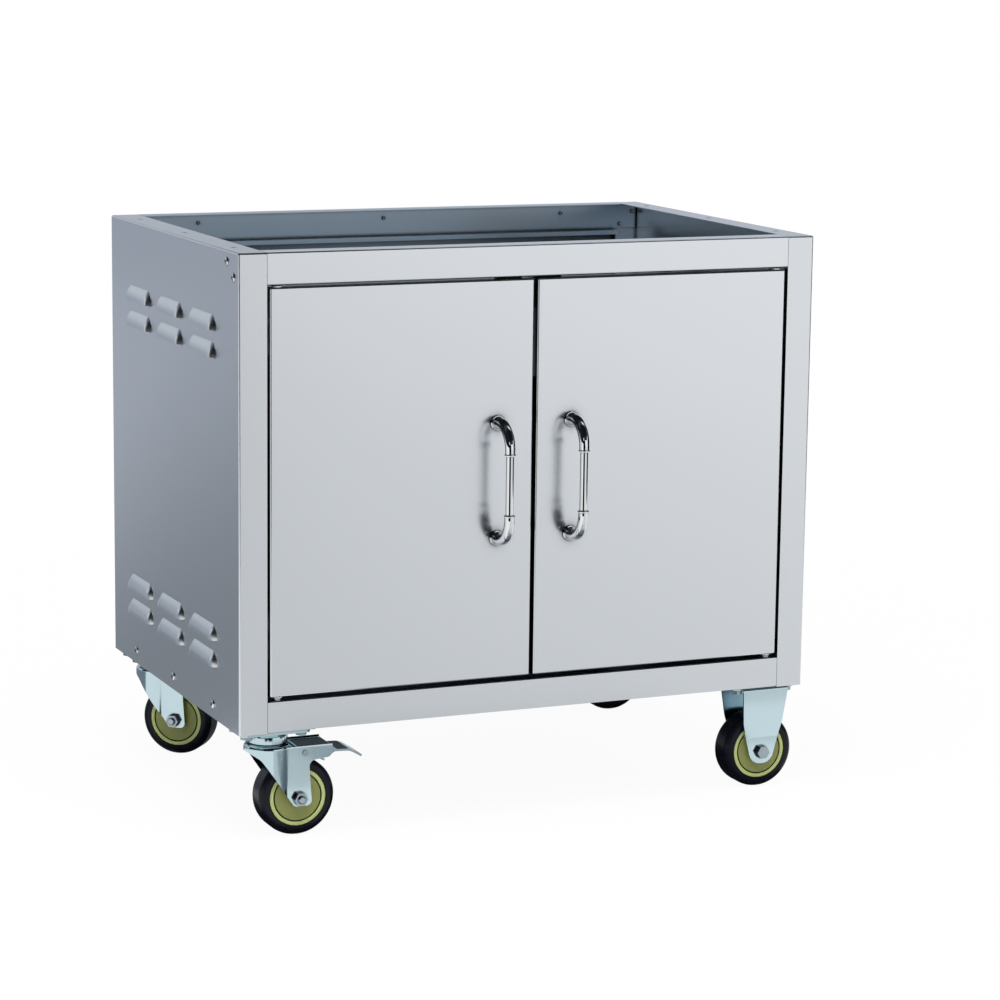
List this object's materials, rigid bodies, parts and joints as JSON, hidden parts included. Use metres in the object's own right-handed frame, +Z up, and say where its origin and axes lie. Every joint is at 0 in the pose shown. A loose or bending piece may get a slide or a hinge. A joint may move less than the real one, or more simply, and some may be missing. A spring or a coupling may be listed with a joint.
{
  "type": "grill cart with storage",
  "caption": "Open-topped sheet steel storage cart for a grill, with louvred sides, paired pivoting doors with tube handles, and braked swivel and fixed casters.",
  "frame": {"origin": "middle of the bounding box's underside: on the floor, half-way between the handles' fronts and the rear screws' heads", "axes": "+X to the cart's right when facing its doors, +Y to its back, +Z up"},
  "size_m": [0.828, 0.5978, 0.7615],
  "materials": {
    "stainless_steel": "stainless steel sheet with a fine satin finish",
    "plated_steel": "bright zinc plate over pressed steel",
    "handle_chrome": "bright polished plate",
    "catch_plastic": "dark moulded case with steel poles",
    "bush_nylon": "plain moulded nylon",
    "hub_plastic": "moulded, olive yellow, slightly glossy",
    "tyre_rubber": "smooth dark blue-black rubber"
  },
  "bodies": {
    "cabinet": {"left_side_panel": "stainless_steel", "right_side_panel": "stainless_steel", "front_top_rail": "stainless_steel", "front_bottom_rail": "stainless_steel", "rear_top_rail": "stainless_steel", "rear_bottom_rail": "stainless_steel", "back_panel": "stainless_steel", "floor_panel": "stainless_steel", "left_caster_channel": "plated_steel", "right_caster_channel": "plated_steel", "door_pivot_pins": "plated_steel", "magnetic_catches": "catch_plastic", "panel_screws": "stainless_steel", "caster_bolts": "plated_steel", "caster_nuts": "plated_steel", "front_left_plate": "plated_steel", "front_left_king_pin": "plated_steel", "rear_left_plate": "plated_steel", "rear_left_king_pin": "plated_steel", "front_right_bracket": "plated_steel", "front_right_axle": "plated_steel", "front_right_wheel_bush": "plated_steel", "rear_right_bracket": "plated_steel", "rear_right_axle": "plated_steel", "rear_right_wheel_bush": "plated_steel"},
    "left_door": {"left_door_skin": "stainless_steel", "left_door_liner": "stainless_steel", "left_door_bushes": "bush_nylon", "left_door_strike": "stainless_steel", "left_handle_elbows": "handle_chrome", "left_handle_bar": "handle_chrome", "left_handle_screws": "stainless_steel"},
    "right_door": {"right_door_skin": "stainless_steel", "right_door_liner": "stainless_steel", "right_door_bushes": "bush_nylon", "right_door_strike": "stainless_steel", "right_handle_elbows": "handle_chrome", "right_handle_bar": "handle_chrome", "right_handle_screws": "stainless_steel"},
    "front_left_swivel": {"front_left_fork": "plated_steel", "front_left_fork_fasteners": "plated_steel", "front_left_wheel_bush": "plated_steel"},
    "front_left_brake": {"front_left_pedal": "plated_steel", "front_left_brake_shoe": "plated_steel"},
    "rear_left_swivel": {"rear_left_fork": "plated_steel", "rear_left_fork_fasteners": "plated_steel", "rear_left_wheel_bush": "plated_steel"},
    "rear_left_brake": {"rear_left_pedal": "plated_steel", "rear_left_brake_shoe": "plated_steel"},
    "front_left_wheel": {"front_left_wheel_hub": "hub_plastic", "front_left_wheel_tyre": "tyre_rubber"},
    "rear_left_wheel": {"rear_left_wheel_hub": "hub_plastic", "rear_left_wheel_tyre": "tyre_rubber"},
    "front_right_wheel": {"front_right_wheel_hub": "hub_plastic", "front_right_wheel_tyre": "tyre_rubber"},
    "rear_right_wheel": {"rear_right_wheel_hub": "hub_plastic", "rear_right_wheel_tyre": "tyre_rubber"}
  },
  "joints": [
    {"name": "left_door_hinge", "type": "hinge", "parent": "cabinet", "child": "left_door", "pos_m": [-0.3525, -0.24155, 0.4552], "axis": [0, 0, -1], "range_deg": [0, 110]},
    {"name": "right_door_hinge", "type": "hinge", "parent": "cabinet", "child": "right_door", "pos_m": [0.3525, -0.24155, 0.4552], "axis": [0, 0, 1], "range_deg": [0, 110]},
    {"name": "front_left_swivel_turn", "type": "hinge", "parent": "cabinet", "child": "front_left_swivel", "pos_m": [-0.354, -0.21055, 0.1235], "axis": [0, 0, 1], "continuous": true},
    {"name": "front_left_wheel_spin", "type": "hinge", "parent": "front_left_swivel", "child": "front_left_wheel", "pos_m": [-0.3195, -0.21055, 0.0515], "axis": [0, 1, 0], "continuous": true},
    {"name": "front_left_brake_press", "type": "hinge", "parent": "front_left_swivel", "child": "front_left_brake", "pos_m": [-0.312, -0.21055, 0.1115], "axis": [0, 1, 0], "range_deg": [0, 8]},
    {"name": "rear_left_swivel_turn", "type": "hinge", "parent": "cabinet", "child": "rear_left_swivel", "pos_m": [-0.354, 0.25745, 0.1235], "axis": [0, 0, 1], "continuous": true},
    {"name": "rear_left_wheel_spin", "type": "hinge", "parent": "rear_left_swivel", "child": "rear_left_wheel", "pos_m": [-0.32796, 0.23482, 0.0515], "axis": [0.6561, 0.7547, 0], "continuous": true},
    {"name": "rear_left_brake_press", "type": "hinge", "parent": "rear_left_swivel", "child": "rear_left_brake", "pos_m": [-0.3223, 0.2299, 0.1115], "axis": [0.6561, 0.7547, 0], "range_deg": [0, 8]},
    {"name": "front_right_wheel_spin", "type": "hinge", "parent": "cabinet", "child": "front_right_wheel", "pos_m": [0.354, -0.21055, 0.0515], "axis": [0, 1, 0], "continuous": true},
    {"name": "rear_right_wheel_spin", "type": "hinge", "parent": "cabinet", "child": "rear_right_wheel", "pos_m": [0.354, 0.25745, 0.0515], "axis": [0, 1, 0], "continuous": true}
  ]
}
